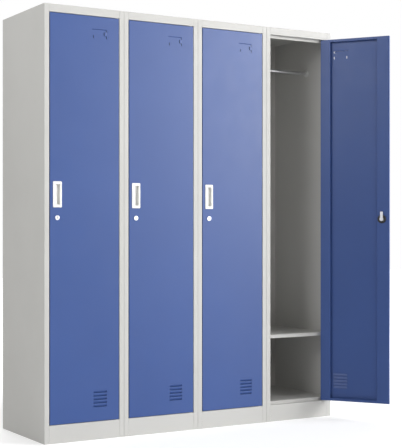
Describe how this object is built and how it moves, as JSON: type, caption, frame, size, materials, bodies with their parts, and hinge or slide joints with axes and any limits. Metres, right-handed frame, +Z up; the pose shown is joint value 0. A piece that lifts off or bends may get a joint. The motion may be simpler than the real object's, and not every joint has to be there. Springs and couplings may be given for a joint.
{
  "type": "locker cabinet",
  "caption": "Tall steel clothes locker: full-height hinged doors in a plain frame, each over a compartment with a hanging rail, a low shelf and a shoe space.",
  "frame": {"origin": "centre of the footprint, on the floor", "axes": "+Z up, doors face -Y, +X to the right as seen from the front"},
  "size_m": [1.6742, 0.7076, 1.85],
  "materials": {
    "cabinet_grey": "light grey powder coat, fine orange peel",
    "door_blue": "mid blue powder coat, fine orange peel",
    "handle_plastic": "light grey moulded plastic",
    "lock_chrome": "polished chrome plate",
    "ring_black": "black moulded plastic",
    "plug_steel": "zinc-plated die-cast metal",
    "rail_steel": "drawn steel tube",
    "socket_plastic": "light grey moulded plastic",
    "bush_nylon": "natural nylon",
    "zinc_fixings": "zinc plate"
  },
  "bodies": {
    "cabinet": {"left_side_1": "cabinet_grey", "right_side_1": "cabinet_grey", "top_1": "cabinet_grey", "base_1": "cabinet_grey", "back_1": "cabinet_grey", "shelf_1": "cabinet_grey", "left_side_2": "cabinet_grey", "right_side_2": "cabinet_grey", "top_2": "cabinet_grey", "base_2": "cabinet_grey", "back_2": "cabinet_grey", "shelf_2": "cabinet_grey", "left_side_3": "cabinet_grey", "right_side_3": "cabinet_grey", "top_3": "cabinet_grey", "base_3": "cabinet_grey", "back_3": "cabinet_grey", "shelf_3": "cabinet_grey", "left_side_4": "cabinet_grey", "right_side_4": "cabinet_grey", "top_4": "cabinet_grey", "base_4": "cabinet_grey", "back_4": "cabinet_grey", "shelf_4": "cabinet_grey", "hanging_rails": "rail_steel", "rail_sockets": "socket_plastic", "hinge_bushes": "bush_nylon", "joining_rivets": "zinc_fixings"},
    "door_1": {"door_panel_1": "door_blue", "lock_channel_1": "door_blue", "hinge_channel_1": "door_blue", "hinge_pins_1": "zinc_fixings", "door_handle_1": "handle_plastic", "lock_body_1": "lock_chrome", "lock_ring_1": "ring_black"},
    "cam_1": {"lock_plug_1": "plug_steel"},
    "door_2": {"door_panel_2": "door_blue", "lock_channel_2": "door_blue", "hinge_channel_2": "door_blue", "hinge_pins_2": "zinc_fixings", "door_handle_2": "handle_plastic", "lock_body_2": "lock_chrome", "lock_ring_2": "ring_black"},
    "cam_2": {"lock_plug_2": "plug_steel"},
    "door_3": {"door_panel_3": "door_blue", "lock_channel_3": "door_blue", "hinge_channel_3": "door_blue", "hinge_pins_3": "zinc_fixings", "door_handle_3": "handle_plastic", "lock_body_3": "lock_chrome", "lock_ring_3": "ring_black"},
    "cam_3": {"lock_plug_3": "plug_steel"},
    "door_4": {"door_panel_4": "door_blue", "lock_channel_4": "door_blue", "hinge_channel_4": "door_blue", "hinge_pins_4": "zinc_fixings", "door_handle_4": "handle_plastic", "lock_body_4": "lock_chrome", "lock_ring_4": "ring_black"},
    "cam_4": {"lock_plug_4": "plug_steel"}
  },
  "joints": [
    {"name": "door_1_hinge", "type": "hinge", "parent": "cabinet", "child": "door_1", "pos_m": [-0.417, -0.219, 0.9505], "axis": [0, 0, 1], "range_deg": [0, 130]},
    {"name": "cam_1_turn", "type": "hinge", "parent": "door_1", "child": "cam_1", "pos_m": [-0.7005, -0.225, 0.9505], "axis": [0, -1, 0], "range_deg": [0, 90]},
    {"name": "door_2_hinge", "type": "hinge", "parent": "cabinet", "child": "door_2", "pos_m": [-0.037, -0.219, 0.9505], "axis": [0, 0, 1], "range_deg": [0, 130]},
    {"name": "cam_2_turn", "type": "hinge", "parent": "door_2", "child": "cam_2", "pos_m": [-0.3205, -0.225, 0.9505], "axis": [0, -1, 0], "range_deg": [0, 90]},
    {"name": "door_3_hinge", "type": "hinge", "parent": "cabinet", "child": "door_3", "pos_m": [0.343, -0.219, 0.9505], "axis": [0, 0, 1], "range_deg": [0, 130]},
    {"name": "cam_3_turn", "type": "hinge", "parent": "door_3", "child": "cam_3", "pos_m": [0.0595, -0.225, 0.9505], "axis": [0, -1, 0], "range_deg": [0, 90]},
    {"name": "door_4_hinge", "type": "hinge", "parent": "cabinet", "child": "door_4", "pos_m": [0.723, -0.219, 0.9505], "axis": [0, 0, 1], "range_deg": [-126.1, 3.9]},
    {"name": "cam_4_turn", "type": "hinge", "parent": "door_4", "child": "cam_4", "pos_m": [0.89489, -0.44453, 0.9505], "axis": [0.808, 0.5892, 0], "range_deg": [0, 90]}
  ]
}
